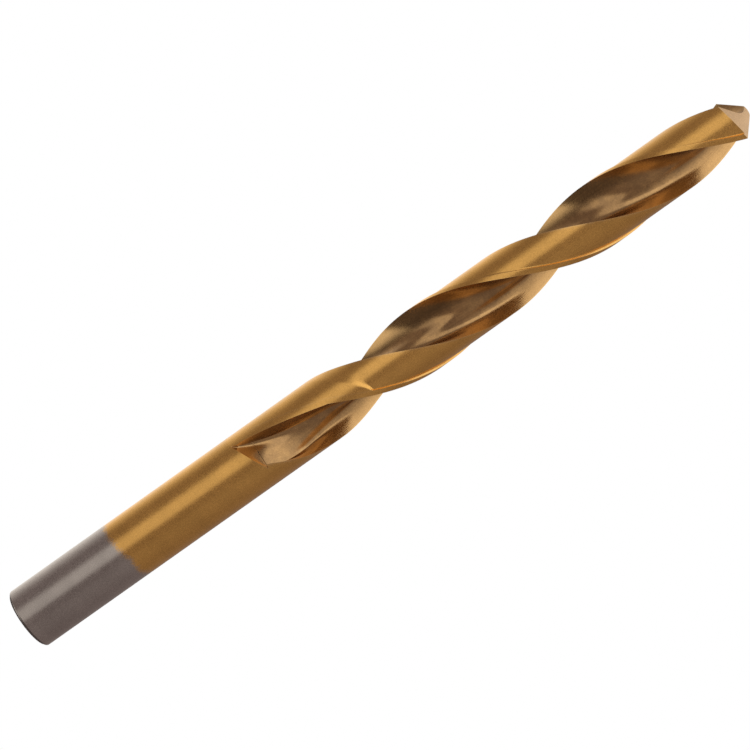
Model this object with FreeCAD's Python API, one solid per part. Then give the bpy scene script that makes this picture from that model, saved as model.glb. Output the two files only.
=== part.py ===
import FreeCAD, Part
import math
import os

# Jobber-length twist drill, nominal diameter 10 mm, millimetres throughout.
# +Z runs along the drill axis from the shank end to the point.
# The origin is the centre of the flat end of the shank.
# At the point the two cutting lips lie parallel to the X axis.

# ---- driving dimensions -------------------------------------------------
DIAMETER = 10.0              # over the margins at the point
SHANK_DIAMETER = 9.96        # plain shank; the margins taper back to it
OVERALL_LENGTH = 133.0       # shank end to chisel edge
BARE_END_LENGTH = 19.0       # uncoated end of the shank
SHANK_LENGTH = 41.0          # plain cylinder before the flutes start
POINT_START = 128.0          # where the ground point is parted from the body
SHANK_CHAMFER = 0.35         # bevel round the shank end

HELIX_LEAD = 64.6            # rise of a flute in one turn, right-hand
POINT_HALF_ANGLE = 59.0      # half of the 118 degree point
WEB_HALF = 0.65              # half web thickness at the point
WEB_TAPER = 0.008            # growth of the half web per mm toward the shank
LAND_ANGLE = 77.0            # one land, leading edge to heel
MARGIN_ANGLE = 11.0          # narrow full-diameter strip behind a leading edge
BODY_RADIUS = 4.68           # relieved land behind the margin
RELIEF_START = 63.6          # where the relieved land begins

HOLLOW_LENGTH = 3.0          # length of the hollow bend next to the web

RUNOUT_FULL = 57.0           # flutes are at full depth above this height
RUNOUT_END = 42.1            # and have risen out of the bar here
RUNOUT_SKEW = 3.0            # the run-out ends square to the helix, mm per radian
RUNOUT_LEAD_WIDTH = 0.33     # width left at the end, leading side, as a share
RUNOUT_HEEL_WIDTH = 0.42     # the same on the heel side
RUNOUT_HEEL_LENGTH = 8.0     # the heel side reaches full width in this length

FLANK_TILT_X = 0.315         # slope terms and cone of a ground flank
FLANK_TILT_Y = 0.094
FLANK_CONE = 0.916
FLANK_APEX = (-1.922, 0.65)

# ---- derived values -----------------------------------------------------
RADIUS = DIAMETER / 2.0
SHANK_RADIUS = SHANK_DIAMETER / 2.0
COT_POINT = 1.0 / math.tan(math.radians(POINT_HALF_ANGLE))
TURN_PER_MM = 2.0 * math.pi / HELIX_LEAD
CORNER_X = math.sqrt(RADIUS ** 2 - WEB_HALF ** 2)
CORNER_ANGLE = math.asin(WEB_HALF / RADIUS)
HEEL_ANGLE = CORNER_ANGLE + math.pi - math.radians(LAND_ANGLE)
FLUTE_BOTTOM = CORNER_ANGLE + math.radians(70.0)
DEPTH_DATUM = RADIUS + 0.4
OUTSIDE = RADIUS + 1.4
VOID_TOP = OVERALL_LENGTH + 2.0


def flank_slope(x, y):
    """Shape of the first ground flank, before it is set to its height."""
    rho = math.hypot(x - FLANK_APEX[0], y - FLANK_APEX[1])
    return FLANK_TILT_X * x + FLANK_TILT_Y * y - FLANK_CONE * rho


def corner_height():
    """Height of the outer corners when the chisel edge is at full length."""
    return OVERALL_LENGTH - flank_slope(0.0, 0.0) + flank_slope(CORNER_X, WEB_HALF)


CORNER_Z = corner_height()


def polar(radius, angle):
    """Flat point from radius and angle."""
    return (radius * math.cos(angle), radius * math.sin(angle))


def helix_turn(z):
    """Rotation of the flute section at height z, zero at the outer corners."""
    return (z - CORNER_Z) * TURN_PER_MM


def placed(flat, angle, z):
    """Flat section point turned about the axis and lifted to z."""
    x, y = flat
    c = math.cos(angle)
    s = math.sin(angle)
    return FreeCAD.Vector(x * c - y * s, x * s + y * c, z)


# ---- flute section ------------------------------------------------------
def rake_side():
    """Rake face of the flute from outside the body in to the web."""
    points = []
    count = 18
    x_far = math.sqrt(OUTSIDE ** 2 - WEB_HALF ** 2)
    for i in range(count + 1):
        x = x_far * (1.0 - i / count) ** 1.25
        r = math.hypot(x, WEB_HALF)
        lag = (CORNER_X - x) * COT_POINT * TURN_PER_MM
        points.append(polar(r, math.atan2(WEB_HALF, x) - lag))
    return points


def bend_path(start, heading, turn):
    """Smooth clockwise bend from a start, as points with the heading at each."""
    x, y = start
    path = [(x, y, heading)]
    steps = 120
    for i in range(steps):
        t = (i + 0.5) / steps
        way = heading - turn * t * t * (3.0 - 2.0 * t)
        x += math.cos(way) * HOLLOW_LENGTH / steps
        y += math.sin(way) * HOLLOW_LENGTH / steps
        path.append((x, y, way))
    return path


def heel_side(start):
    """Back of the flute: a smooth hollow from the web, then straight out past the heel."""
    heel = polar(BODY_RADIUS, HEEL_ANGLE)
    heading = math.atan2(start[1], start[0]) + math.pi / 2.0
    low, high = 0.0, math.radians(120.0)
    for _ in range(60):
        turn = (low + high) / 2.0
        x, y, _way = bend_path(start, heading, turn)[-1]
        way = heading - turn
        if math.cos(way) * (heel[1] - y) - math.sin(way) * (heel[0] - x) > 0.0:
            high = turn
        else:
            low = turn
    path = bend_path(start, heading, turn)
    points = [path[i][:2] for i in range(10, 121, 10)]
    x, y, _way = path[-1]
    tx, ty = math.cos(heading - turn), math.sin(heading - turn)
    length = math.hypot(heel[0] - x, heel[1] - y)
    for step in (0.34, 0.67, 1.0):
        points.append((x + tx * length * step, y + ty * length * step))
    for step in (0.5, 1.0, 1.5):
        points.append((heel[0] + tx * step, heel[1] + ty * step))
    return points


def flute_profile():
    """Open profile of one flute, leading side first."""
    rake = rake_side()
    return rake + heel_side(rake[-1])


def flute_rows():
    """Heights for the rows of a flute void, close together in the run-out."""
    heights = []
    low = RUNOUT_END - 2.4
    count = 34
    for i in range(count):
        heights.append(low + (RUNOUT_FULL + 3.0 - low) * (i / count) ** 1.25)
    count = 52
    for i in range(count + 1):
        heights.append(RUNOUT_FULL + 3.0 + (VOID_TOP - RUNOUT_FULL - 3.0) * i / count)
    return heights


def flute_depth(z):
    """Share of full flute depth at height z."""
    web = WEB_HALF + WEB_TAPER * (CORNER_Z - z)
    share = (DEPTH_DATUM - web) / (DEPTH_DATUM - WEB_HALF)
    if z < RUNOUT_FULL:
        out = min((RUNOUT_FULL - z) / (RUNOUT_FULL - RUNOUT_END), 1.0)
        share *= (1.0 - out * out) ** 0.62
    return share


def flute_width(z, heel_side_wanted):
    """Share of full flute width at height z, on one side of its bottom."""
    if heel_side_wanted:
        low, length, power = RUNOUT_HEEL_WIDTH, RUNOUT_HEEL_LENGTH, 0.7
    else:
        low, length, power = RUNOUT_LEAD_WIDTH, RUNOUT_FULL - RUNOUT_END, 0.8
    t = min(max((z - RUNOUT_END) / length, 0.0), 1.0)
    return low + (1.0 - low) * t ** power


def flute_point(flat, z):
    """Profile point made shallower and narrower for height z."""
    r = math.hypot(flat[0], flat[1])
    off = math.atan2(flat[1], flat[0]) - FLUTE_BOTTOM
    off *= flute_width(z, off > 0.0)
    r = DEPTH_DATUM - (DEPTH_DATUM - r) * flute_depth(z - RUNOUT_SKEW * off)
    return polar(r, FLUTE_BOTTOM + off)


# ---- helical voids ------------------------------------------------------
def surface_through(rows):
    """Smooth surface through a grid of points."""
    surface = Part.BSplineSurface()
    surface.interpolate(rows)
    return surface


def end_cap(inner_edge, outer_edge):
    """Plane end of a void between the ends of its two surfaces."""
    edges = [inner_edge, outer_edge]
    for side in (0, 1):
        a = inner_edge.Vertexes[side].Point
        b = outer_edge.Vertexes[side].Point
        edges.append(Part.makeLine(a, b))
    return Part.Face(Part.Wire(Part.__sortEdges__(edges)))


def void_solid(inner_rows, outer_rows):
    """Closed solid between two matching grids of points."""
    inner = surface_through(inner_rows)
    outer = surface_through(outer_rows)
    u_ends = inner.bounds()[:2]
    v_ends = inner.bounds()[2:]
    faces = [inner.toShape(), outer.toShape()]
    for v_inner, v_outer in zip(v_ends, outer.bounds()[2:]):
        a = inner.vIso(v_inner).toShape()
        b = outer.vIso(v_outer).toShape()
        faces.append(Part.makeRuledSurface(a, b))
    for u_inner, u_outer in zip(u_ends, outer.bounds()[:2]):
        a = inner.uIso(u_inner).toShape()
        b = outer.uIso(u_outer).toShape()
        faces.append(end_cap(a, b))
    shell = Part.makeShell(faces)
    shell.sewShape(0.0001)
    solid = Part.Solid(shell)
    if solid.Volume < 0:
        solid.reverse()
    return solid


def flute_void(half_turn):
    """Room taken out by one flute from its run-out to above the point."""
    profile = flute_profile()
    inner_rows = []
    outer_rows = []
    for z in flute_rows():
        turn = helix_turn(z) + half_turn
        shaped = [flute_point(p, z) for p in profile]
        span_a = math.atan2(shaped[0][1], shaped[0][0])
        span_b = math.atan2(shaped[-1][1], shaped[-1][0])
        outer = []
        for k in range(len(shaped)):
            t = k / (len(shaped) - 1)
            outer.append(polar(OUTSIDE + 1.2, span_a + (span_b - span_a) * t))
        inner_rows.append([placed(p, turn, z) for p in shaped])
        outer_rows.append([placed(p, turn, z) for p in outer])
    return void_solid(inner_rows, outer_rows)


def relief_void(half_turn):
    """Shallow band taken off one land behind its margin."""
    first = CORNER_ANGLE - math.radians(MARGIN_ANGLE)
    last = HEEL_ANGLE - math.pi - math.radians(14.0)
    columns = 12
    steps = 60
    inner_rows = []
    outer_rows = []
    for i in range(steps + 1):
        z = RELIEF_START + (VOID_TOP - RELIEF_START) * i / steps
        turn = helix_turn(z) + half_turn
        inner = []
        outer = []
        for k in range(columns + 1):
            angle = first + (last - first) * k / columns
            inner.append(placed(polar(BODY_RADIUS, angle), turn, z))
            outer.append(placed(polar(OUTSIDE, angle), turn, z))
        inner_rows.append(inner)
        outer_rows.append(outer)
    return void_solid(inner_rows, outer_rows)


# ---- point --------------------------------------------------------------
def flank_height(x, y):
    """Height of the first ground flank over a flat point."""
    return CORNER_Z + flank_slope(x, y) - flank_slope(CORNER_X, WEB_HALF)


def flank_void(half_turn):
    """Everything above one ground flank."""
    count = 28
    reach = OUTSIDE
    rows = []
    for i in range(count + 1):
        x = -reach + 2.0 * reach * i / count
        row = []
        for k in range(count + 1):
            y = -reach + 2.0 * reach * k / count
            row.append(placed((x, y), half_turn, flank_height(x, y)))
        rows.append(row)
    return surface_through(rows).toShape().extrude(FreeCAD.Vector(0, 0, 16.0))


# ---- whole drill, then its zones ----------------------------------------
def drill_blank():
    """Bevelled round shank, then a bar that widens slightly toward the point."""
    bevel = Part.makeCone(SHANK_RADIUS - SHANK_CHAMFER, SHANK_RADIUS, SHANK_CHAMFER)
    plain = SHANK_LENGTH - SHANK_CHAMFER
    shank = Part.makeCylinder(SHANK_RADIUS, plain, FreeCAD.Vector(0, 0, SHANK_CHAMFER))
    length = VOID_TOP - 0.5 - SHANK_LENGTH
    growth = (RADIUS - SHANK_RADIUS) / (CORNER_Z - SHANK_LENGTH)
    top_radius = SHANK_RADIUS + growth * length
    bar = Part.makeCone(SHANK_RADIUS, top_radius, length, FreeCAD.Vector(0, 0, SHANK_LENGTH))
    return bevel.fuse([shank, bar])


def whole_drill():
    """Bar with flutes, relieved lands and ground point."""
    voids = []
    for half_turn in (0.0, math.pi):
        voids.append(flute_void(half_turn))
        voids.append(relief_void(half_turn))
        voids.append(flank_void(half_turn))
    shape = drill_blank()
    for void in voids:
        shape = shape.cut(void)
    return shape


def zone(shape, z_low, z_high):
    """The length of drill between two planes square to the axis."""
    slab = Part.makeCylinder(RADIUS + 3.0, z_high - z_low, FreeCAD.Vector(0, 0, z_low))
    piece = shape.common(slab)
    solids = piece.Solids
    solids.sort(key=lambda s: s.Volume)
    return solids[-1]


def main():
    os.makedirs("parts", exist_ok=True)
    drill = whole_drill()
    zones = [
        ("shank_bare_end", 0.0, BARE_END_LENGTH),
        ("shank_coated", BARE_END_LENGTH, SHANK_LENGTH),
        ("fluted_body", SHANK_LENGTH, POINT_START),
        ("drill_point", POINT_START, OVERALL_LENGTH + 1.0),
    ]
    for name, z_low, z_high in zones:
        piece = zone(drill, z_low, z_high)
        piece.exportStep("parts/" + name + ".step")
        box = piece.optimalBoundingBox(True, False)
        print(name, piece.isValid(), round(piece.Volume, 2), len(piece.Faces),
              round(box.ZMin, 3), round(box.ZMax, 3), round(box.XLength, 3), round(box.YLength, 3))


main()
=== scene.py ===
import math

import bpy
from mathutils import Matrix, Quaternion, Vector


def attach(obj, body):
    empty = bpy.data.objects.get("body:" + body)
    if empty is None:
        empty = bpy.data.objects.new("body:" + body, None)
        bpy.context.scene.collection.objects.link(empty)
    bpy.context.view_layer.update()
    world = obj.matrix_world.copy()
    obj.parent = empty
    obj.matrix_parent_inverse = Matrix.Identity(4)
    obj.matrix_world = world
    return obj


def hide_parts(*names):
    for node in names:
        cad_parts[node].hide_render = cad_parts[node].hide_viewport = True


# A 10 mm jobber twist drill with a gold nitride coating. Sizes are in millimetres until the
# last step, which scales each piece to metres. +Z runs from the shank end to the point.

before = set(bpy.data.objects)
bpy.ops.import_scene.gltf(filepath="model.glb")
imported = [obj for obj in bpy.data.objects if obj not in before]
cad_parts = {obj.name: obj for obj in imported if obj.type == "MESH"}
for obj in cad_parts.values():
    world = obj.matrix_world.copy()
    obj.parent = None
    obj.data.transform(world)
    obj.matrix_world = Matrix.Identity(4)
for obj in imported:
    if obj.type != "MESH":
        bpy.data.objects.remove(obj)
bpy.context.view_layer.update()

MM = 0.001
BAR_RADIUS = 5.0
SHANK_RADIUS = 4.98
OVERALL_LENGTH = 133.0
BARE_END_LENGTH = 19.0
SHANK_LENGTH = 41.0
POINT_START = 128.0
SHANK_BEVEL = 0.35

HELIX_LEAD = 64.6
WEB_HALF = 0.65
WEB_TAPER = 0.008
LAND_ANGLE = math.radians(77.0)
MARGIN_ANGLE = math.radians(11.0)
BODY_RADIUS = 4.68
RELIEF_START = 63.6
RELIEF_SLOPE = 0.24
RELIEF_LEAD_IN = 8.0

HOLLOW_LENGTH = 3.0

RUNOUT_FULL = 57.0
RUNOUT_END = 42.1
RUNOUT_SKEW = 3.0
RUNOUT_LEAD_WIDTH = 0.33
RUNOUT_HEEL_WIDTH = 0.42
RUNOUT_HEEL_LENGTH = 8.0

FLANK_TILT_X = 0.315
FLANK_TILT_Y = 0.094
FLANK_CONE = 0.916
FLANK_APEX = (-1.922, 0.65)

COT_POINT = 1.0 / math.tan(math.radians(59.0))
TURN_PER_MM = 2.0 * math.pi / HELIX_LEAD
CORNER_X = math.sqrt(BAR_RADIUS ** 2 - WEB_HALF ** 2)
CORNER_ANGLE = math.asin(WEB_HALF / BAR_RADIUS)
HEEL_ANGLE = CORNER_ANGLE + math.pi - LAND_ANGLE
FLUTE_BOTTOM = CORNER_ANGLE + math.radians(70.0)
DEPTH_DATUM = BAR_RADIUS + 0.4
CHISEL_X = 0.455

RAKE_COLUMNS = 30
HEEL_COLUMNS = 30


# ---------------------------------------------------------------- the drill's rule
def smooth(t):
    """Soft step from 0 to 1."""
    t = min(max(t, 0.0), 1.0)
    return t * t * (3.0 - 2.0 * t)


def flank_slope(x, y):
    """Shape of the first ground flank."""
    rho = math.hypot(x - FLANK_APEX[0], y - FLANK_APEX[1])
    return FLANK_TILT_X * x + FLANK_TILT_Y * y - FLANK_CONE * rho


CORNER_Z = OVERALL_LENGTH - flank_slope(0.0, 0.0) + flank_slope(CORNER_X, WEB_HALF)


def flank_height(x, y):
    """Height of the first flank over a flat point."""
    return CORNER_Z + flank_slope(x, y) - flank_slope(CORNER_X, WEB_HALF)


def point_height(x, y):
    """Height of the ground point, the lower of its two flanks."""
    return min(flank_height(x, y), flank_height(-x, -y))


def helix_turn(z):
    """Turn of the section at height z."""
    return (z - CORNER_Z) * TURN_PER_MM


def margin_radius(z):
    """Full radius at height z; the margins taper back slightly to the shank."""
    share = (z - SHANK_LENGTH) / (CORNER_Z - SHANK_LENGTH)
    return SHANK_RADIUS + (BAR_RADIUS - SHANK_RADIUS) * max(share, 0.0)


def flute_depth(z):
    """Share of full flute depth, less toward the shank, none past the run-out."""
    web = WEB_HALF + WEB_TAPER * (CORNER_Z - z)
    share = (DEPTH_DATUM - web) / (DEPTH_DATUM - WEB_HALF)
    if z < RUNOUT_FULL:
        out = min((RUNOUT_FULL - z) / (RUNOUT_FULL - RUNOUT_END), 1.0)
        share *= (1.0 - out * out) ** 0.62
    return share


def flute_width(z, on_heel_side):
    """Share of full flute width on one side of the flute bottom."""
    if on_heel_side:
        low, length, power = RUNOUT_HEEL_WIDTH, RUNOUT_HEEL_LENGTH, 0.7
    else:
        low, length, power = RUNOUT_LEAD_WIDTH, RUNOUT_FULL - RUNOUT_END, 0.8
    t = min(max((z - RUNOUT_END) / length, 0.0), 1.0)
    return low + (1.0 - low) * t ** power


def land_relief(z, across):
    """How fully the land is relieved; sharp start by the margin, a long ramp by the heel."""
    lead_in = RELIEF_SLOPE + RELIEF_LEAD_IN * smooth(1.0 - across / 0.86) ** 0.8
    return smooth((z - RELIEF_START + lead_in - RELIEF_SLOPE / 2.0) / lead_in)


def rake_point(x):
    """Angle and radius on the rake face, x measured along the lip."""
    lag = (CORNER_X - x) * COT_POINT * TURN_PER_MM
    return math.atan2(WEB_HALF, x) - lag, math.hypot(x, WEB_HALF)


def bend_path(start, heading, turn):
    """Smooth clockwise bend from a start, as points."""
    x, y = start
    path = [(x, y)]
    for i in range(120):
        t = (i + 0.5) / 120
        way = heading - turn * smooth(t)
        x += math.cos(way) * HOLLOW_LENGTH / 120
        y += math.sin(way) * HOLLOW_LENGTH / 120
        path.append((x, y))
    return path


def flute_back():
    """The flute's back: points of its smooth hollow, its last heading and its whole length."""
    angle, radius = rake_point(0.0)
    start = (radius * math.cos(angle), radius * math.sin(angle))
    heading = angle + math.pi / 2.0
    hx, hy = BODY_RADIUS * math.cos(HEEL_ANGLE), BODY_RADIUS * math.sin(HEEL_ANGLE)
    low, high = 0.0, math.radians(120.0)
    for _ in range(60):
        turn = (low + high) / 2.0
        x, y = bend_path(start, heading, turn)[-1]
        way = heading - turn
        if math.cos(way) * (hy - y) - math.sin(way) * (hx - x) > 0.0:
            high = turn
        else:
            low = turn
    path = bend_path(start, heading, turn)
    x, y = path[-1]
    return path, heading - turn, HOLLOW_LENGTH + math.hypot(hx - x, hy - y)


HOLLOW_PATH, WALL_HEADING, HEEL_LENGTH = flute_back()


def heel_point(along):
    """Angle and radius on the flute's back, a distance along it from the web."""
    place = min(along, HOLLOW_LENGTH) / HOLLOW_LENGTH * 120
    index = min(int(place), 119)
    (ax, ay), (bx, by) = HOLLOW_PATH[index], HOLLOW_PATH[index + 1]
    x, y = ax + (bx - ax) * (place - index), ay + (by - ay) * (place - index)
    rest = max(along - HOLLOW_LENGTH, 0.0)
    x += rest * math.cos(WALL_HEADING)
    y += rest * math.sin(WALL_HEADING)
    return math.atan2(y, x), math.hypot(x, y)


RAKE_REACH = CORNER_X + 0.9
HEEL_REACH = HEEL_LENGTH + 0.9


def profile_point(p):
    """Angle and radius across one flute: rake face for p below 1, back of the flute above."""
    if p <= 1.0:
        return rake_point(RAKE_REACH * (1.0 - p))
    return heel_point(HEEL_REACH * (p - 1.0))


def flute_place(p, z):
    """Angle and radius of a profile point at height z, shallower and narrower in the run-out."""
    angle, radius = profile_point(p)
    off = angle - FLUTE_BOTTOM
    off *= flute_width(z, off > 0.0)
    depth = max(flute_depth(z - RUNOUT_SKEW * off), 0.0)
    return FLUTE_BOTTOM + off, DEPTH_DATUM - (DEPTH_DATUM - radius) * depth


def land_steps():
    """Places across a land, heel to leading edge, with their share of relief."""
    share = MARGIN_ANGLE / LAND_ANGLE
    margin = 1.0 - share
    body = [margin * 0.985 * i / 27.0 for i in range(1, 28)]
    steps = [(t, 1.0) for t in body]
    for shift, relief in ((-0.006, 0.93), (-0.002, 0.6), (0.002, 0.22), (0.006, 0.03)):
        steps.append((margin + shift, relief))
    for i in range(1, 9):
        steps.append((margin + 0.008 + (share - 0.010) * i / 8.0, 0.0))
    return steps


LAND_STEPS = land_steps()


def crossing(p_in, p_out, z, radius):
    """Place between an open and a closed profile point where the flute meets a radius."""
    for _ in range(22):
        p = (p_in + p_out) / 2.0
        if flute_place(p, z)[1] < radius:
            p_in = p
        else:
            p_out = p
    return p_in


SEARCH = [i / 40.0 for i in range(81)]
CORE_P = 1.0 - CHISEL_X / RAKE_REACH


def flute_columns(z):
    """Angle and radius of the columns across one flute, lead side first."""
    full = margin_radius(z)
    heel_radius = full - (full - BODY_RADIUS) * land_relief(z, 0.0)
    opened = [p for p in SEARCH if flute_place(p, z)[1] < full - 1e-5]
    if opened:
        first, last = opened[0], opened[-1]
        p_lead = crossing(first, max(first - 0.025, 0.0), z, full)
        while last > first and flute_place(last, z)[1] >= heel_radius:
            last -= 0.0125
        p_heel = crossing(last, min(last + 0.025, 2.0), z, heel_radius)
    else:
        deepest = min(SEARCH, key=lambda p: flute_place(p, z)[1])
        p_lead, p_heel = deepest - 0.01, deepest + 0.01
    count = RAKE_COLUMNS + HEEL_COLUMNS
    steps = [p_lead + (p_heel - p_lead) * i / count for i in range(count + 1)]
    settled = smooth((z - 48.0) / 12.0)
    if settled > 0.0:
        final = [p_lead + (CORE_P - p_lead) * (i / RAKE_COLUMNS) ** 1.15 for i in range(RAKE_COLUMNS + 1)]
        final += [CORE_P + (1.0 - CORE_P) * i / 4.0 for i in range(1, 5)]
        count = HEEL_COLUMNS - 4
        final += [1.0 + (p_heel - 1.0) * i / count for i in range(1, count + 1)]
        steps = [a + (b - a) * settled for a, b in zip(steps, final)]
    columns = []
    for p in steps:
        angle, radius = flute_place(min(max(p, 0.0), 2.0), z)
        columns.append((angle, min(radius, full)))
    columns[-1] = (columns[-1][0], min(columns[-1][1], heel_radius))
    return columns


def section(z):
    """All columns round the drill at height z, laid out before the twist."""
    flute = flute_columns(z)
    full = margin_radius(z)
    heel = flute[-1][0]
    lead = flute[0][0] + math.pi
    half = list(flute)
    for t, share in LAND_STEPS:
        relief = land_relief(z, t) * share
        half.append((heel + (lead - heel) * t, full - (full - BODY_RADIUS) * relief))
    return half + [(angle + math.pi, radius) for angle, radius in half]


COLUMNS = len(section(100.0))
HALF = COLUMNS // 2


# ---------------------------------------------------------------- surface marks kept on the mesh
def column_marks():
    """For each column, how much it is an edge, how much it is flute, and its place across."""
    edge = []
    flute = []
    across = []
    in_flute = RAKE_COLUMNS + HEEL_COLUMNS
    for i in range(COLUMNS):
        k = i % HALF
        near = min(abs(k), abs(k - HALF), abs(k - in_flute))
        step = abs(k - (in_flute + 30))
        edge.append(max(math.exp(-near * 1.4), 0.6 * math.exp(-step * 1.0)))
        flute.append(1.0 if 0 < k < in_flute else 0.0)
        across.append(k / in_flute if k <= in_flute else (HALF - k) / (HALF - in_flute))
    return edge, flute, across


EDGE_MARK, FLUTE_MARK, ACROSS_MARK = column_marks()


# ---------------------------------------------------------------- mesh helpers
def new_mesh(name, verts, faces, marks):
    """Mesh with point attributes."""
    mesh = bpy.data.meshes.new(name)
    mesh.from_pydata(verts, [], faces)
    for key, values in marks.items():
        layer = mesh.attributes.new(key, "FLOAT", "POINT")
        layer.data.foreach_set("value", values)
    mesh.update()
    return mesh


def wall_faces(rows, columns):
    """Quads of a closed wall, outward when columns run anticlockwise."""
    faces = []
    for r in range(rows - 1):
        for c in range(columns):
            d = (c + 1) % columns
            faces.append((r * columns + c, r * columns + d, (r + 1) * columns + d, (r + 1) * columns + c))
    return faces


def heights(stops):
    """Row heights from (start, end, spacing) stretches."""
    rows = []
    for start, end, spacing in stops:
        count = max(1, round((end - start) / spacing))
        rows += [start + (end - start) * i / count for i in range(count)]
    rows.append(stops[-1][1])
    return rows


# ---------------------------------------------------------------- geometry nodes: roll and twist
def roll_and_twist_tree():
    """Turns a laid-out pattern (angle, radius, height) into a helical body."""
    tree = bpy.data.node_groups.new("roll_and_twist", "GeometryNodeTree")
    face = tree.interface
    face.new_socket("Geometry", in_out="INPUT", socket_type="NodeSocketGeometry")
    for name, value in (("Lead", HELIX_LEAD), ("Zero Height", CORNER_Z), ("Scale", MM)):
        socket = face.new_socket(name, in_out="INPUT", socket_type="NodeSocketFloat")
        socket.default_value = value
    face.new_socket("Material", in_out="INPUT", socket_type="NodeSocketMaterial")
    face.new_socket("Geometry", in_out="OUTPUT", socket_type="NodeSocketGeometry")
    nodes, links = tree.nodes, tree.links

    def math_node(operation, a, b=None):
        node = nodes.new("ShaderNodeMath")
        node.operation = operation
        for socket, value in zip(node.inputs, (a, b)):
            if isinstance(value, (int, float)):
                socket.default_value = value
            elif value is not None:
                links.new(value, socket)
        return node.outputs[0]

    given = nodes.new("NodeGroupInput")
    result = nodes.new("NodeGroupOutput")
    place = nodes.new("GeometryNodeInputPosition")
    split = nodes.new("ShaderNodeSeparateXYZ")
    links.new(place.outputs[0], split.inputs[0])
    angle, radius, height = split.outputs
    rise = math_node("SUBTRACT", height, given.outputs["Zero Height"])
    turns = math_node("DIVIDE", rise, given.outputs["Lead"])
    twist = math_node("MULTIPLY", turns, 2.0 * math.pi)
    whole = math_node("ADD", angle, twist)
    x = math_node("MULTIPLY", radius, math_node("COSINE", whole))
    y = math_node("MULTIPLY", radius, math_node("SINE", whole))
    join = nodes.new("ShaderNodeCombineXYZ")
    for source, socket in zip((x, y, height), join.inputs):
        links.new(math_node("MULTIPLY", source, given.outputs["Scale"]), socket)
    move = nodes.new("GeometryNodeSetPosition")
    links.new(given.outputs["Geometry"], move.inputs["Geometry"])
    links.new(join.outputs[0], move.inputs["Position"])
    realize = nodes.new("GeometryNodeRealizeInstances")
    links.new(move.outputs[0], realize.inputs[0])
    paint = nodes.new("GeometryNodeSetMaterial")
    links.new(realize.outputs[0], paint.inputs["Geometry"])
    links.new(given.outputs["Material"], paint.inputs["Material"])
    links.new(paint.outputs[0], result.inputs[0])
    return tree


def rolled(name, pattern, tree, material, lead=HELIX_LEAD):
    """Runs the tree on a pattern mesh and returns the plain result."""
    source = bpy.data.objects.new(name + "_pattern", pattern)
    bpy.context.scene.collection.objects.link(source)
    modifier = source.modifiers.new("roll", "NODES")
    modifier.node_group = tree
    values = {"Lead": lead, "Zero Height": CORNER_Z, "Scale": MM, "Material": material}
    for item in tree.interface.items_tree:
        if item.in_out == "INPUT" and item.name in values:
            modifier[item.identifier] = values[item.name]
    graph = bpy.context.evaluated_depsgraph_get()
    mesh = bpy.data.meshes.new_from_object(source.evaluated_get(graph))
    source.modifiers.remove(modifier)
    bpy.data.objects.remove(source)
    mesh.name = name
    mesh.polygons.foreach_set("use_smooth", [True] * len(mesh.polygons))
    mesh.set_sharp_from_angle(angle=math.radians(28.0))
    piece = bpy.data.objects.new(name, mesh)
    bpy.context.scene.collection.objects.link(piece)
    return piece


# ---------------------------------------------------------------- patterns
def shank_pattern(name, z_low, z_high, bevelled):
    """Plain round length of shank, with its bevel if it is the end."""
    columns = 160
    rings = []
    if bevelled:
        rim = SHANK_RADIUS - SHANK_BEVEL
        rings += [(rim - 0.5, 0.0), (rim - 0.10, 0.0), (rim - 0.03, 0.012), (rim + 0.02, 0.05)]
        rings += [(SHANK_RADIUS - 0.06, SHANK_BEVEL - 0.08), (SHANK_RADIUS - 0.01, SHANK_BEVEL + 0.02)]
        z_low = SHANK_BEVEL + 0.13
    spans = [
        (z_low, z_low + 0.02, 0.02),
        (z_low + 0.02, z_high - 0.02, 0.5),
        (z_high - 0.02, z_high, 0.02),
    ]
    for z in heights(spans):
        rings.append((SHANK_RADIUS, z))
    verts = []
    for radius, z in rings:
        for c in range(columns):
            verts.append((2.0 * math.pi * c / columns - helix_turn(z), radius, z))
    faces = wall_faces(len(rings), columns)
    top = (len(rings) - 1) * columns
    faces.append(tuple(range(top, top + columns)))
    faces.append(tuple(reversed(range(columns))))
    blank = [0.0] * len(verts)
    edge = list(blank)
    if bevelled:
        for i in range(columns * 2, columns * 6):
            edge[i] = 0.6
    return new_mesh(name + "_flat", verts, faces, {"edge_mask": edge, "flute_face": blank, "across": blank})


def body_pattern():
    """Laid-out pattern of the fluted body."""
    rows = heights([
        (SHANK_LENGTH, SHANK_LENGTH + 4.0, 0.06), (SHANK_LENGTH + 4.0, RUNOUT_FULL, 0.17),
        (RUNOUT_FULL, RELIEF_START - 0.2, 0.25), (RELIEF_START - 0.2, RELIEF_START + 0.2, 0.04),
        (RELIEF_START + 0.2, POINT_START - 0.02, 0.27), (POINT_START - 0.02, POINT_START, 0.02),
    ])
    verts = []
    edge = []
    flute = []
    for z in rows:
        fade = smooth((z - RUNOUT_END) / 3.0)
        for c, (angle, radius) in enumerate(section(z)):
            verts.append((angle, radius, z))
            edge.append(EDGE_MARK[c] * fade)
            flute.append(FLUTE_MARK[c] * (1.0 if radius < margin_radius(z) - 0.002 else 0.0))
    faces = wall_faces(len(rows), COLUMNS)
    top = (len(rows) - 1) * COLUMNS
    faces.append(tuple(range(top, top + COLUMNS)))
    faces.append(tuple(reversed(range(COLUMNS))))
    marks = {"edge_mask": edge, "flute_face": flute, "across": ACROSS_MARK * len(rows)}
    return new_mesh("fluted_body_flat", verts, faces, marks)


def flat_place(angle, radius, z):
    """Where a pattern point ends up, seen along the axis."""
    whole = angle + helix_turn(z)
    return radius * math.cos(whole), radius * math.sin(whole)


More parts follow.
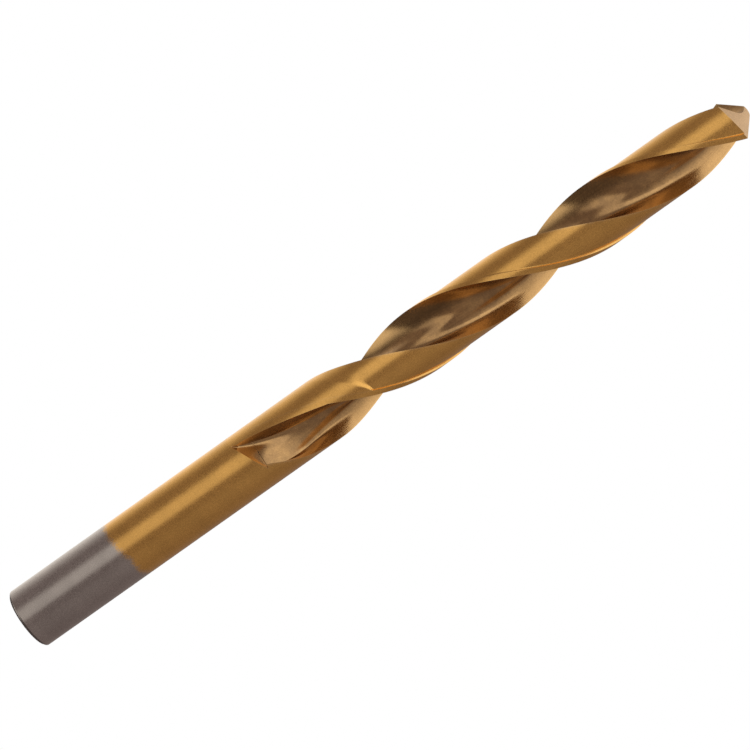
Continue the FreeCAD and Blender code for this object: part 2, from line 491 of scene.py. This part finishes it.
def tops_of_columns():
    """Height at which each column of half the wall meets the ground point."""
    tops = []
    for column in range(HALF):
        low, high = POINT_START, OVERALL_LENGTH + 1.0
        for _ in range(24):
            z = (low + high) / 2.0
            x, y = flat_place(*nearby_section(z)[column], z)
            if z < point_height(x, y):
                low = z
            else:
                high = z
        tops.append((low + high) / 2.0)
    return tops


def nearby_section(z):
    """Section at height z, blended from the closest two of a stack made once."""
    if not POINT_STACK:
        POINT_STACK.extend(section(POINT_START + 0.25 * i) for i in range(26))
    place = min((z - POINT_START) / 0.25, 24.999)
    index = int(place)
    share = place - index
    pairs = zip(POINT_STACK[index], POINT_STACK[index + 1])
    return [(a[0] + (b[0] - a[0]) * share, a[1] + (b[1] - a[1]) * share) for a, b in pairs]


POINT_STACK = []


def on_chisel(x, y, along_x, along_y):
    """Nearest place on the chisel edge, where the two flanks are equally high."""
    size = math.hypot(along_x, along_y)
    nx, ny = -along_y / size, along_x / size

    def lead_of_first(d):
        px, py = x + nx * d, y + ny * d
        return flank_height(px, py) - flank_height(-px, -py)

    low, high = -0.2, 0.2
    if lead_of_first(low) * lead_of_first(high) > 0.0:
        return x, y
    rising = lead_of_first(high) > 0.0
    for _ in range(30):
        d = (low + high) / 2.0
        if (lead_of_first(d) > 0.0) == rising:
            high = d
        else:
            low = d
    return x + nx * d, y + ny * d


def point_pattern():
    """Laid-out pattern of the point: its wall, two flanks and chisel edge."""
    half_tops = tops_of_columns()
    tops = half_tops + half_tops
    rows = 22
    verts = []
    edge = []
    flute = []
    for r in range(rows):
        share = 0.0 if r == 0 else (r - 0.85) / (rows - 1.85)
        for c in range(COLUMNS):
            z = POINT_START + (tops[c] - POINT_START) * share
            angle, radius = nearby_section(z)[c]
            verts.append((angle, radius, z))
            edge.append(max(EDGE_MARK[c], 1.0 if r == rows - 1 else 0.0))
            flute.append(FLUTE_MARK[c])
    faces = wall_faces(rows, COLUMNS)
    faces.append(tuple(reversed(range(COLUMNS))))
    top = (rows - 1) * COLUMNS

    def place(index):
        return flat_place(*verts[index])

    def add_point(x, y, sharp):
        z = point_height(x, y)
        verts.append((math.atan2(y, x) - helix_turn(z), math.hypot(x, y), z))
        edge.append(sharp)
        flute.append(0.0)
        return len(verts) - 1

    c_one, c_two = top + RAKE_COLUMNS, top + HALF + RAKE_COLUMNS
    spine = [c_two]
    count = HALF - RAKE_COLUMNS - HEEL_COLUMNS
    (ax, ay), (bx, by) = place(c_two), place(c_one)
    for u in range(1, count):
        t = u / count
        spine.append(add_point(*on_chisel(ax + (bx - ax) * t, ay + (by - ay) * t, bx - ax, by - ay), 0.8))
    spine.append(c_one)

    for half in (0, 1):
        def column(k):
            return top + (k + half * HALF) % COLUMNS

        outer = [column(HALF + RAKE_COLUMNS + HEEL_COLUMNS + u) for u in range(count + 1)]
        lip = [column(v) for v in range(RAKE_COLUMNS + 1)]
        heel = [column(HALF + RAKE_COLUMNS + HEEL_COLUMNS - v) for v in range(RAKE_COLUMNS + 1)]
        inner = spine if half == 0 else spine[::-1]
        grid = [outer]
        for v in range(1, RAKE_COLUMNS):
            tv = v / RAKE_COLUMNS
            row = [heel[v]]
            for u in range(1, count):
                tu = u / count
                blend = []
                for k in (0, 1):
                    sides = (1 - tv) * place(outer[u])[k] + tv * place(inner[u])[k]
                    ends = (1 - tu) * place(heel[v])[k] + tu * place(lip[v])[k]
                    corners = (1 - tu) * (1 - tv) * place(outer[0])[k]
                    corners += tu * (1 - tv) * place(outer[-1])[k]
                    corners += (1 - tu) * tv * place(inner[0])[k] + tu * tv * place(inner[-1])[k]
                    blend.append(sides + ends - corners)
                row.append(add_point(blend[0], blend[1], 0.0))
            row.append(lip[v])
            grid.append(row)
        grid.append(inner)
        for v in range(RAKE_COLUMNS):
            for u in range(count):
                faces.append((grid[v][u], grid[v][u + 1], grid[v + 1][u + 1], grid[v + 1][u]))
    across = ACROSS_MARK * rows + [0.5] * (len(verts) - rows * COLUMNS)
    ground = [0.0] * (rows * COLUMNS) + [1.0] * (len(verts) - rows * COLUMNS)
    marks = {"edge_mask": edge, "flute_face": flute, "across": across, "ground_flank": ground}
    return new_mesh("drill_point_flat", verts, faces, marks)


# ---------------------------------------------------------------- shader groups
class Sheet:
    """Small helper that lays out shader nodes."""

    def __init__(self, tree):
        self.tree = tree
        self.nodes = tree.nodes
        self.links = tree.links

    def put(self, socket, value):
        if hasattr(value, "is_linked"):
            self.links.new(value, socket)
        elif value is not None:
            socket.default_value = value

    def math(self, operation, a, b=None, c=None):
        node = self.nodes.new("ShaderNodeMath")
        node.operation = operation
        for socket, value in zip(node.inputs, (a, b, c)):
            self.put(socket, value)
        return node.outputs[0]

    def ramp(self, value, low, high, out_low=0.0, out_high=1.0, kind="SMOOTHSTEP"):
        node = self.nodes.new("ShaderNodeMapRange")
        node.interpolation_type = kind
        for key, item in (("Value", value), ("From Min", low), ("From Max", high),
                          ("To Min", out_low), ("To Max", out_high)):
            self.put(node.inputs[key], item)
        return node.outputs[0]

    def mix(self, share, a, b):
        node = self.nodes.new("ShaderNodeMix")
        node.data_type = "RGBA"
        self.put(node.inputs[0], share)
        self.put(node.inputs[6], a)
        self.put(node.inputs[7], b)
        return node.outputs[2]

    def vector(self, x, y, z):
        node = self.nodes.new("ShaderNodeCombineXYZ")
        for socket, value in zip(node.inputs, (x, y, z)):
            self.put(socket, value)
        return node.outputs[0]

    def noise(self, where, scale, detail=3.0, rough=0.55):
        node = self.nodes.new("ShaderNodeTexNoise")
        self.put(node.inputs["Vector"], where)
        self.put(node.inputs["Scale"], scale)
        self.put(node.inputs["Detail"], detail)
        self.put(node.inputs["Roughness"], rough)
        return node.outputs[0]

    def attribute(self, name):
        node = self.nodes.new("ShaderNodeAttribute")
        node.attribute_name = name
        return node.outputs["Fac"]

    def place(self):
        """Object position in millimetres, and its three parts."""
        coord = self.nodes.new("ShaderNodeTexCoord")
        scale = self.nodes.new("ShaderNodeVectorMath")
        scale.operation = "SCALE"
        self.links.new(coord.outputs["Object"], scale.inputs[0])
        scale.inputs["Scale"].default_value = 1000.0
        split = self.nodes.new("ShaderNodeSeparateXYZ")
        self.links.new(scale.outputs[0], split.inputs[0])
        return scale.outputs[0], split.outputs

    def group(self, tree, **values):
        node = self.nodes.new("ShaderNodeGroup")
        node.node_tree = tree
        for key, value in values.items():
            self.put(node.inputs[key.replace("_", " ")], value)
        return node.outputs


def shader_group(name, inputs, outputs):
    """Empty shader group with named float inputs and outputs."""
    tree = bpy.data.node_groups.new(name, "ShaderNodeTree")
    for key, value in inputs:
        socket = tree.interface.new_socket(key, in_out="INPUT", socket_type="NodeSocketFloat")
        socket.default_value = value
    for key in outputs:
        tree.interface.new_socket(key, in_out="OUTPUT", socket_type="NodeSocketFloat")
    sheet = Sheet(tree)
    return tree, sheet, sheet.nodes.new("NodeGroupInput").outputs, sheet.nodes.new("NodeGroupOutput").inputs


def satin_grain_group():
    """Fine speckle of a satin metal surface, and slower cloudy variation."""
    tree, sheet, given, out = shader_group(
        "satin_grain", (("Speckle Scale", 9.0), ("Cloud Scale", 0.35)), ("Speckle", "Cloud"))
    where, _ = sheet.place()
    fine = sheet.noise(where, given["Speckle Scale"], 2.0, 0.6)
    slow = sheet.noise(where, given["Cloud Scale"], 3.0, 0.5)
    sheet.put(out["Speckle"], sheet.ramp(fine, 0.3, 0.7, -1.0, 1.0, "LINEAR"))
    sheet.put(out["Cloud"], sheet.ramp(slow, 0.3, 0.7, -1.0, 1.0, "LINEAR"))
    return tree


def ground_rings_group():
    """Fine grinding marks that run round the bar."""
    tree, sheet, given, out = shader_group(
        "ground_rings", (("Line Scale", 6.0), ("Break Up", 0.5)), ("Lines",))
    _, (x, y, z) = sheet.place()
    broken = sheet.math("MULTIPLY", given["Break Up"], 0.25)
    where = sheet.vector(sheet.math("MULTIPLY", x, broken), sheet.math("MULTIPLY", y, broken), z)
    coarse = sheet.noise(where, given["Line Scale"], 4.0, 0.7)
    sheet.put(out["Lines"], sheet.ramp(coarse, 0.25, 0.75, -1.0, 1.0, "LINEAR"))
    return tree


def flute_marks_group():
    """Grinding marks that run along the flutes."""
    tree, sheet, given, out = shader_group(
        "flute_marks", (("Line Scale", 60.0), ("Length", 0.06)), ("Lines",))
    _, (x, y, z) = sheet.place()
    across = sheet.attribute("across")
    along = sheet.math("MULTIPLY", z, sheet.math("MULTIPLY", given["Length"], 0.02))
    where = sheet.vector(across, along, 0.0)
    lines = sheet.noise(where, given["Line Scale"], 3.0, 0.65)
    sheet.put(out["Lines"], sheet.ramp(lines, 0.25, 0.75, -1.0, 1.0, "LINEAR"))
    return tree


def coating_edge_group():
    """Where the coating starts on the shank: soft, slanted and speckled."""
    tree, sheet, given, out = shader_group(
        "coating_edge", (("Start", 18.8), ("Slant", 0.16), ("Softness", 0.5), ("Speckle", 0.8)), ("Coated",))
    where, (x, y, z) = sheet.place()
    side = sheet.math("ADD", sheet.math("MULTIPLY", x, 0.59), sheet.math("MULTIPLY", y, 0.81))
    line = sheet.math("ADD", given["Start"], sheet.math("MULTIPLY", side, given["Slant"]))
    wave = sheet.math("MULTIPLY", sheet.math("SUBTRACT", sheet.noise(where, 0.45, 2.0), 0.5), 2.0)
    spots = sheet.math("SUBTRACT", sheet.noise(where, 4.5, 3.0, 0.7), 0.5)
    dots = sheet.math("MULTIPLY", spots, given["Speckle"])
    height = sheet.math("ADD", z, sheet.math("ADD", wave, dots))
    gap = sheet.math("SUBTRACT", height, line)
    low = sheet.math("MULTIPLY", given["Softness"], -1.0)
    sheet.put(out["Coated"], sheet.ramp(gap, low, given["Softness"]))
    return tree


def edge_mask_group():
    """Share of the marked corners, broken up so it isn't even; the body paints rubbed wear and a painted
    highlight there.
    """
    tree, sheet, given, out = shader_group("edge_mask", (("Amount", 1.0), ("Break Up", 1.6)), ("Edge Share",))
    where, _ = sheet.place()
    broken = sheet.ramp(sheet.noise(where, given["Break Up"], 4.0, 0.65), 0.3, 0.62, 0.25, 1.0)
    mark = sheet.math("MULTIPLY", sheet.attribute("edge_mask"), broken)
    sheet.put(out["Edge Share"], sheet.math("MINIMUM", sheet.math("MULTIPLY", mark, given["Amount"]), 1.0))
    return tree


def flute_shade_group():
    """Painted shade: darker, patchy colour along the middle of the flutes."""
    tree, sheet, given, out = shader_group(
        "flute_shade", (("Amount", 0.6), ("Patch Scale", 0.4)), ("Shaded",))
    where, _ = sheet.place()
    across = sheet.attribute("across")
    middle = sheet.math("MULTIPLY", sheet.ramp(across, 0.10, 0.34), sheet.ramp(across, 0.92, 0.66))
    patch = sheet.ramp(sheet.noise(where, given["Patch Scale"], 4.0, 0.62), 0.34, 0.62, 0.35, 1.0)
    sheet.put(out["Shaded"], sheet.math("MULTIPLY", sheet.math("MULTIPLY", middle, patch), given["Amount"]))
    return tree


GRAIN = satin_grain_group()
FLUTE_SHADE = flute_shade_group()
RINGS = ground_rings_group()
FLUTE_LINES = flute_marks_group()
COAT_EDGE = coating_edge_group()
EDGE_MASK = edge_mask_group()

BARE_STEEL = (0.42, 0.385, 0.365, 1.0)
NITRIDE_GOLD = (0.735, 0.420, 0.122, 1.0)
# Painted shade: the flutes get a darker, browner gold than the lands.
SHADED_FLUTE_GOLD = (0.56, 0.345, 0.150, 1.0)
FLANK_GOLD = (0.76, 0.53, 0.31, 1.0)
# Darker colour for the end bevel.
DARK_BEVEL_RIM = (0.2, 0.18, 0.17, 1.0)
# Paler gold for corners and the margin step: rubbed wear and a painted highlight.
WORN_EDGE_HIGHLIGHT = (0.80, 0.62, 0.38, 1.0)
# Painted shade for the middle of the flutes.
PAINTED_FLUTE_SHADE = (0.27, 0.165, 0.085, 1.0)


def metal(name):
    """Metal material with its Principled shader and a sheet to lay nodes on."""
    material = bpy.data.materials.new(name)
    material.use_nodes = True
    shader = next(n for n in material.node_tree.nodes if n.type == "BSDF_PRINCIPLED")
    shader.inputs["Metallic"].default_value = 1.0
    return material, shader, Sheet(material.node_tree)


def brighten(sheet, colour, amount):
    """Colour made lighter or darker by a signed amount."""
    node = sheet.nodes.new("ShaderNodeHueSaturation")
    sheet.put(node.inputs["Color"], colour)
    sheet.put(node.inputs["Value"], sheet.math("ADD", amount, 1.0))
    return node.outputs[0]


def bumped(sheet, shader, height, strength, distance):
    """Links a height through a bump node."""
    bump = sheet.nodes.new("ShaderNodeBump")
    sheet.put(bump.inputs["Height"], height)
    bump.inputs["Strength"].default_value = strength
    bump.inputs["Distance"].default_value = distance
    sheet.links.new(bump.outputs[0], shader.inputs["Normal"])


def shank_material():
    """Ground shank, bare at its end and gold past the coating's edge."""
    material, shader, sheet = metal("part_coated_shank")
    grain = sheet.group(GRAIN, Speckle_Scale=5.0, Cloud_Scale=0.3)
    rings = sheet.group(RINGS, Line_Scale=5.0, Break_Up=0.4)
    coat = sheet.group(COAT_EDGE, Start=18.75, Slant=0.17, Softness=0.62, Speckle=1.9)
    edges = sheet.group(EDGE_MASK, Amount=1.0, Break_Up=1.2)
    metal_colour = sheet.mix(coat["Coated"], BARE_STEEL, NITRIDE_GOLD)
    change = sheet.math("MULTIPLY_ADD", grain["Speckle"], 0.17, sheet.math("MULTIPLY", grain["Cloud"], 0.07))
    change = sheet.math("MULTIPLY_ADD", rings["Lines"], 0.035, change)
    colour = brighten(sheet, metal_colour, change)
    # The end bevel is painted darker.
    edge_share = sheet.math("MULTIPLY", edges["Edge Share"], 0.4)
    sheet.put(shader.inputs["Base Color"], sheet.mix(edge_share, colour, DARK_BEVEL_RIM))
    rough = sheet.math("MULTIPLY_ADD", grain["Speckle"], 0.05, 0.25)
    rough = sheet.math("MULTIPLY_ADD", rings["Lines"], 0.025, rough)
    sheet.put(shader.inputs["Roughness"], rough)
    height = sheet.math("MULTIPLY_ADD", rings["Lines"], 0.5, grain["Speckle"])
    bumped(sheet, shader, height, 0.25, 0.000003)
    return material


def body_material(name, gold, shaded_flute_gold, flank_gold):
    """Coated cutting length: flutes marked lengthwise, lands marked round."""
    material, shader, sheet = metal(name)
    grain = sheet.group(GRAIN, Speckle_Scale=4.5, Cloud_Scale=0.25)
    rings = sheet.group(RINGS, Line_Scale=5.0, Break_Up=0.6)
    lines = sheet.group(FLUTE_LINES, Line_Scale=70.0, Length=0.05)
    edges = sheet.group(EDGE_MASK, Amount=1.0, Break_Up=1.6)
    in_flute = sheet.attribute("flute_face")
    on_flank = sheet.attribute("ground_flank")
    # Painted shade: the middle of each flute is darkened in patches.
    flute_shading = sheet.group(FLUTE_SHADE, Amount=0.62, Patch_Scale=0.42)
    # Painted shade: flutes take the darker, browner gold.
    colour = sheet.mix(in_flute, gold, sheet.mix(flute_shading["Shaded"], shaded_flute_gold, PAINTED_FLUTE_SHADE))
    colour = sheet.mix(on_flank, colour, flank_gold)
    marks = sheet.math("MULTIPLY", lines["Lines"], in_flute)
    change = sheet.math("MULTIPLY_ADD", grain["Speckle"], 0.13, sheet.math("MULTIPLY", grain["Cloud"], 0.07))
    change = sheet.math("MULTIPLY_ADD", marks, 0.10, change)
    colour = brighten(sheet, colour, change)
    # Corners and the margin step turn paler: rubbed wear and a painted highlight.
    edge_share = sheet.math("MULTIPLY", edges["Edge Share"], 0.45)
    sheet.put(shader.inputs["Base Color"], sheet.mix(edge_share, colour, WORN_EDGE_HIGHLIGHT))
    rough = sheet.ramp(in_flute, 0.0, 1.0, 0.25, 0.20)
    rough = sheet.math("MULTIPLY_ADD", grain["Speckle"], 0.03, rough)
    rough = sheet.math("MULTIPLY_ADD", marks, 0.04, rough)
    rough = sheet.math("MULTIPLY_ADD", on_flank, 0.10, rough)
    sheet.put(shader.inputs["Roughness"], rough)
    height = sheet.math("MULTIPLY_ADD", marks, 1.2, grain["Speckle"])
    height = sheet.math("MULTIPLY_ADD", rings["Lines"], 0.5, height)
    bumped(sheet, shader, height, 0.3, 0.000003)
    return material


# ---------------------------------------------------------------- pieces
SHANK = shank_material()
BODY = body_material("coated_flutes", NITRIDE_GOLD, SHADED_FLUTE_GOLD, FLANK_GOLD)
POINT = body_material("ground_point", NITRIDE_GOLD, SHADED_FLUTE_GOLD, FLANK_GOLD)
ROLL = roll_and_twist_tree()

BARE_END = shank_pattern("bare_shank_end", 0.0, BARE_END_LENGTH, True)
COATED = shank_pattern("coated_shank", BARE_END_LENGTH, SHANK_LENGTH, False)

PIECES = (
    ("bare_shank_end", BARE_END, SHANK, "shank_bare_end", "bare_steel"),
    ("coated_shank", COATED, SHANK, "shank_coated", "coated_shank"),
    ("fluted_length", body_pattern(), BODY, "fluted_body", "coated_flutes"),
    ("ground_tip", point_pattern(), POINT, "drill_point", "coated_point"),
)
for piece_name, pattern, material, node, slot in PIECES:
    piece = rolled(piece_name, pattern, ROLL, material)
    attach(piece, "root")
    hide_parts(node)


# ---------------------------------------------------------------- camera
BACK = Vector((0.80574, -0.58843, 0.06738))
LOOK_AT = Vector((0.181, 0.063, 64.880)) * MM
DISTANCE = 347.44
ROLL_ANGLE = math.radians(54.70)
LENS = 110.72
camera_data = bpy.data.cameras.new("camera")
camera_data.lens = LENS
camera_data.sensor_width = 36.0
camera_data.clip_start = 0.01
camera_data.dof.use_dof = False
camera = bpy.data.objects.new("camera", camera_data)
camera.location = LOOK_AT + BACK.normalized() * DISTANCE * MM
camera.rotation_mode = "QUATERNION"
aim = (-BACK).to_track_quat("-Z", "Y")
camera.rotation_quaternion = aim @ Quaternion((0.0, 0.0, 1.0), ROLL_ANGLE)
bpy.context.scene.collection.objects.link(camera)
bpy.context.scene.camera = camera
bpy.context.scene.view_settings.view_transform = "Standard"


# ---------------------------------------------------------------- studio
def soft_box(sheet, turn, rise, turn_from, turn_to, rise_from, rise_to, glow):
    """Light of one soft box; each side is (no light, full light) in degrees."""
    share = sheet.math("MULTIPLY", sheet.ramp(turn, *turn_from), sheet.ramp(turn, *turn_to))
    share = sheet.math("MULTIPLY", share, sheet.ramp(rise, *rise_from))
    share = sheet.math("MULTIPLY", share, sheet.ramp(rise, *rise_to))
    return sheet.math("MULTIPLY", share, glow)


def studio_light(sheet):
    """Soft light by direction: boxes beside, over and under the camera, backdrop behind."""
    coord = sheet.nodes.new("ShaderNodeTexCoord")

    def facing(direction):
        node = sheet.nodes.new("ShaderNodeVectorMath")
        node.operation = "DOT_PRODUCT"
        sheet.links.new(coord.outputs["Generated"], node.inputs[0])
        node.inputs[1].default_value = direction
        return node.outputs["Value"]

    toward = facing((0.8076, -0.5898, 0.0))
    upper = facing((-0.5898, -0.8076, 0.0))
    degrees = 180.0 / math.pi
    turn = sheet.math("MULTIPLY", sheet.math("ARCTAN2", upper, toward), degrees)
    rise = sheet.math("MULTIPLY", sheet.math("ARCSINE", facing((0.0, 0.0, 1.0))), degrees)
    room = sheet.ramp(rise, -30.0, -14.0, 0.11, 0.27)
    # In order: strip, overhead, under, backdrop, fill card, and two for the point.
    boxes = (
        ((-3.0, 9.0), (58.0, 34.0), (-24.0, -15.0), (42.0, 20.0), 0.52),
        ((-150.0, -95.0), (62.0, 38.0), (6.0, 44.0), (100.0, 99.0), 0.95),
        ((22.0, 44.0), (106.0, 84.0), (-22.0, -44.0), (-86.0, -76.0), 0.95),
        ((78.0, 156.0), (200.0, 190.0), (-34.0, -18.0), (14.0, 3.0), 0.90),
        ((-12.0, -36.0), (-100.0, -44.0), (-20.0, -8.0), (10.0, 0.0), 0.08),
        ((118.0, 150.0), (200.0, 190.0), (24.0, 42.0), (84.0, 74.0), 0.50),
        ((-200.0, -190.0), (-118.0, -150.0), (24.0, 42.0), (84.0, 74.0), 0.50),
    )
    level = 0.0
    for turn_from, turn_to, rise_from, rise_to, glow in boxes:
        box = soft_box(sheet, turn, rise, turn_from, turn_to, rise_from, rise_to, glow)
        level = sheet.math("ADD", level, box)
    return sheet.math("MAXIMUM", level, 0.0), room


world = bpy.data.worlds.new("studio")
world.use_nodes = True
bpy.context.scene.world = world
sheet = Sheet(world.node_tree)
background = next(n for n in sheet.nodes if n.type == "BACKGROUND")
path = sheet.nodes.new("ShaderNodeLightPath")
level, room = studio_light(sheet)
seen = path.outputs["Is Camera Ray"]
whole = sheet.math("ADD", level, room)
share = sheet.math("DIVIDE", room, whole)
tint = sheet.mix(share, (1.0, 0.985, 0.90, 1.0), (1.06, 0.86, 0.80, 1.0))
sheet.put(background.inputs["Color"], sheet.mix(seen, tint, (1.0, 1.0, 1.0, 1.0)))
unseen = sheet.math("SUBTRACT", 1.0, seen)
sheet.put(background.inputs["Strength"], sheet.math("ADD", sheet.math("MULTIPLY", whole, unseen), seen))

floor_mesh = bpy.data.meshes.new("floor")
FLOOR_HALF = 3.0
corners = [(-FLOOR_HALF, -FLOOR_HALF, 0.0), (FLOOR_HALF, -FLOOR_HALF, 0.0),
           (FLOOR_HALF, FLOOR_HALF, 0.0), (-FLOOR_HALF, FLOOR_HALF, 0.0)]
floor_mesh.from_pydata(corners, [], [(0, 1, 2, 3)])
floor = bpy.data.objects.new("floor", floor_mesh)
bpy.context.scene.collection.objects.link(floor)
floor_paint = bpy.data.materials.new("pale_floor")
floor_paint.use_nodes = True
sheet = Sheet(floor_paint.node_tree)
sheet.nodes.clear()
path = sheet.nodes.new("ShaderNodeLightPath")
glow = sheet.nodes.new("ShaderNodeEmission")
clear = sheet.nodes.new("ShaderNodeBsdfTransparent")
blend = sheet.nodes.new("ShaderNodeMixShader")
end = sheet.nodes.new("ShaderNodeOutputMaterial")
sheet.links.new(path.outputs["Is Camera Ray"], blend.inputs[0])
sheet.links.new(clear.outputs[0], blend.inputs[1])
sheet.links.new(glow.outputs[0], blend.inputs[2])
sheet.links.new(blend.outputs[0], end.inputs["Surface"])
floor_mesh.materials.append(floor_paint)
